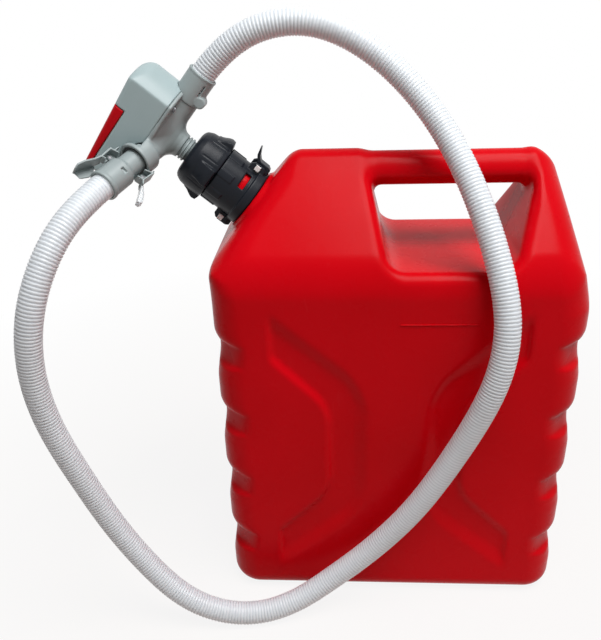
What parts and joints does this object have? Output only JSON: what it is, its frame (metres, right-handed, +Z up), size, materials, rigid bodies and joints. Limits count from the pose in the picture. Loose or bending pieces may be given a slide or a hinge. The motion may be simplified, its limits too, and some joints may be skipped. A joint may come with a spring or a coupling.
{
  "type": "jerry can with battery transfer pump",
  "caption": "Upright plastic fuel can with a built-in handle and a slanted neck carrying a battery pump, whose ribbed hose loops round the front to a docked nozzle.",
  "frame": {"origin": "middle of the can's base, on the floor it stands on", "axes": "+X along the can's width, away from the neck; +Y to the back, away from the hose's loop; +Z up"},
  "size_m": [0.4951, 0.2436, 0.5809],
  "materials": {
    "can_red": "satin moulded polyethylene",
    "cover_red": "smooth moulded",
    "adapter_black": "fine satin",
    "pump_grey": "smooth moulded",
    "pump_grey_dark": "smooth moulded",
    "pin_white": "smooth",
    "hose_clear": "milky, see-through",
    "tip_clear": "clear",
    "seal_rubber": "matte",
    "steel": "plain",
    "cell_jacket": "plain wrapper",
    "contact_metal": "plated",
    "board_green": "lacquered",
    "button_dark": "satin"
  },
  "bodies": {
    "can": {"can_body": "can_red", "neck_gasket": "seal_rubber", "adapter_collar": "adapter_black", "lever_pins": "pin_white", "gland_seal": "seal_rubber", "suction_stub": "pump_grey_dark", "suction_hose": "hose_clear", "strainer_foot": "pump_grey_dark", "pump_base": "pump_grey_dark", "head_housing": "pump_grey", "housing_screws": "steel", "chamber_cover": "pump_grey_dark", "shaft_seal": "seal_rubber", "motor": "steel", "batteries": "cell_jacket", "battery_contacts": "contact_metal", "circuit_board": "board_green", "switch_module": "adapter_black", "outlet_coupling": "pump_grey_dark", "delivery_hose": "hose_clear", "nozzle_body": "pump_grey", "nozzle_seal": "seal_rubber", "latch_pins": "steel", "latch_springs": "steel"},
    "gland_nut": {"gland_nut": "adapter_black"},
    "lever_upper": {"cam_lever_upper": "adapter_black"},
    "lever_lower": {"cam_lever_lower": "adapter_black"},
    "cover": {"battery_cover": "cover_red"},
    "button": {"switch_button": "button_dark"},
    "rotor": {"motor_shaft": "steel", "impeller": "pin_white"},
    "latch_left": {"latch_lever_left": "pump_grey"},
    "latch_right": {"latch_lever_right": "pump_grey", "latch_tip": "tip_clear"}
  },
  "joints": [
    {"name": "gland_nut_turn", "type": "hinge", "parent": "can", "child": "gland_nut", "pos_m": [-0.17863, 0, 0.45135], "axis": [-0.766, 0, 0.6428], "range_deg": [0, 180]},
    {"name": "lever_upper_swing", "type": "hinge", "parent": "can", "child": "lever_upper", "pos_m": [-0.1275, 0, 0.44695], "axis": [0, -1, 0], "range_deg": [0, 55]},
    {"name": "lever_lower_swing", "type": "hinge", "parent": "can", "child": "lever_lower", "pos_m": [-0.16542, 0, 0.40176], "axis": [0, 1, 0], "range_deg": [0, 55]},
    {"name": "battery_cover_slide", "type": "slide", "parent": "can", "child": "cover", "axis": [-0.6428, 0, -0.766], "range_m": [0, 0.06]},
    {"name": "switch_press", "type": "slide", "parent": "can", "child": "button", "axis": [0.766, 0, -0.6428], "range_m": [0, 0.0018], "stiffness_N_per_m": 600, "springref_m": -0.0005},
    {"name": "rotor_spin", "type": "hinge", "parent": "can", "child": "rotor", "pos_m": [-0.21157, 0, 0.47899], "axis": [-0.766, 0, 0.6428], "continuous": true},
    {"name": "latch_left_squeeze", "type": "hinge", "parent": "can", "child": "latch_left", "pos_m": [-0.25033, -0.04851, 0.46832], "axis": [0.5329, -0.5592, 0.6351], "range_deg": [0, 5], "stiffness_Nm_per_rad": 0.15, "springref_deg": -8.59},
    {"name": "latch_right_squeeze", "type": "hinge", "parent": "can", "child": "latch_right", "pos_m": [-0.22465, -0.04499, 0.44987], "axis": [-0.5329, 0.5592, -0.6351], "range_deg": [0, 8], "stiffness_Nm_per_rad": 0.15, "springref_deg": -8.59}
  ]
}
